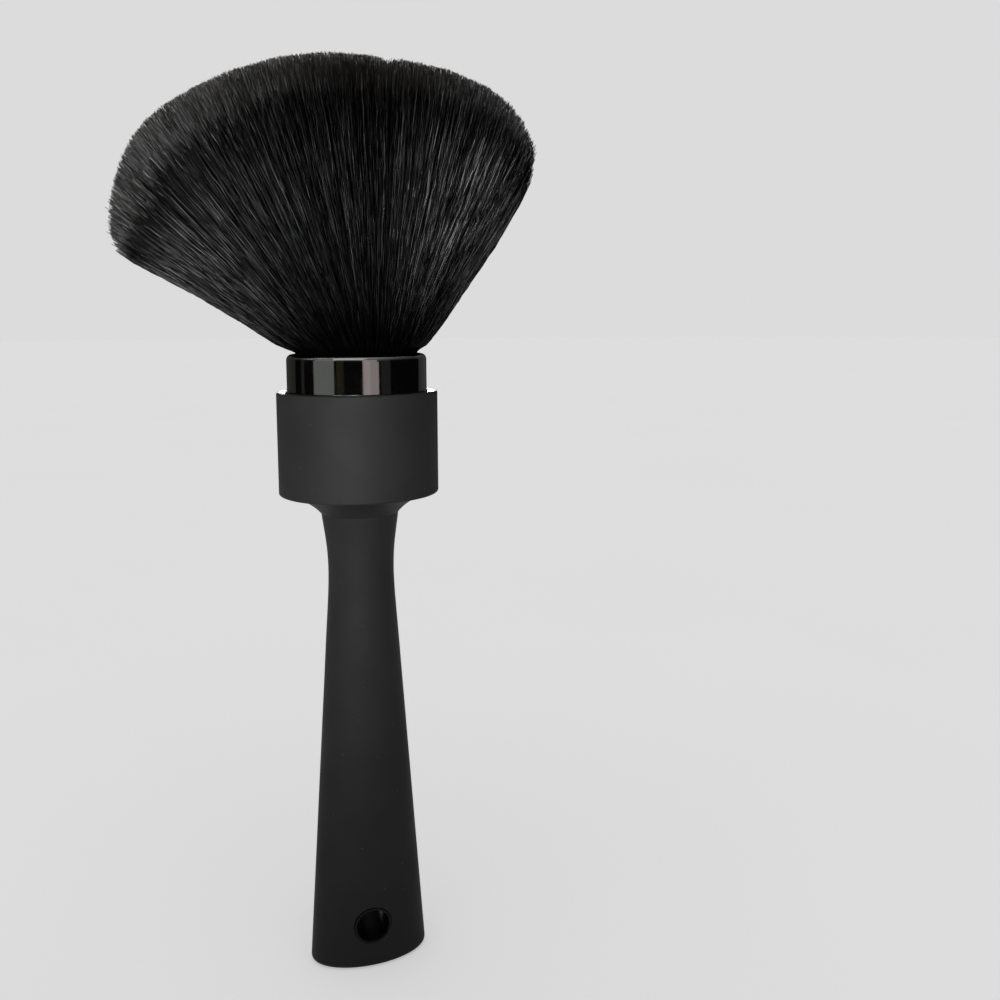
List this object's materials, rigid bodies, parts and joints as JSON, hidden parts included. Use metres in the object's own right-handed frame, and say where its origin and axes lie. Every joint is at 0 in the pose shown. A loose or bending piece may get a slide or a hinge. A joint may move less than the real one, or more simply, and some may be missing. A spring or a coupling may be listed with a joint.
{
  "type": "neck duster brush",
  "caption": "Barber's neck duster: a fluffy lopsided fan of black fibres in a metal ferrule and collar, on a slim flat-ended handle with a hanging hole.",
  "frame": {"origin": "centre of the handle's flat butt face", "axes": "+Z along the handle from the butt to the fibre tips; the flat front of the handle faces -Y, with the hanging hole along Y; the tuft fans out along X and leans to -X"},
  "size_m": [0.0832, 0.0454, 0.19],
  "materials": {
    "soft_touch_black": "rubbery soft-touch matte coat",
    "gloss_black": "gloss",
    "gunmetal": "mirror gunmetal plating",
    "epoxy": "cured clear amber adhesive",
    "disc_plastic": "as moulded",
    "twine": "twisted waxed cotton",
    "black_fibre": "fine crimped synthetic fibre with feathered tips"
  },
  "bodies": {
    "root": {"handle_front_shell": "soft_touch_black", "handle_rear_shell": "soft_touch_black", "hang_hole_sleeve": "gloss_black", "collar": "soft_touch_black", "collar_bond": "epoxy", "ferrule": "gunmetal", "ferrule_bond": "epoxy", "ferrule_base_disc": "disc_plastic", "root_resin": "epoxy", "knot_binding": "twine", "bristle_tuft": "black_fibre"}
  },
  "joints": []
}
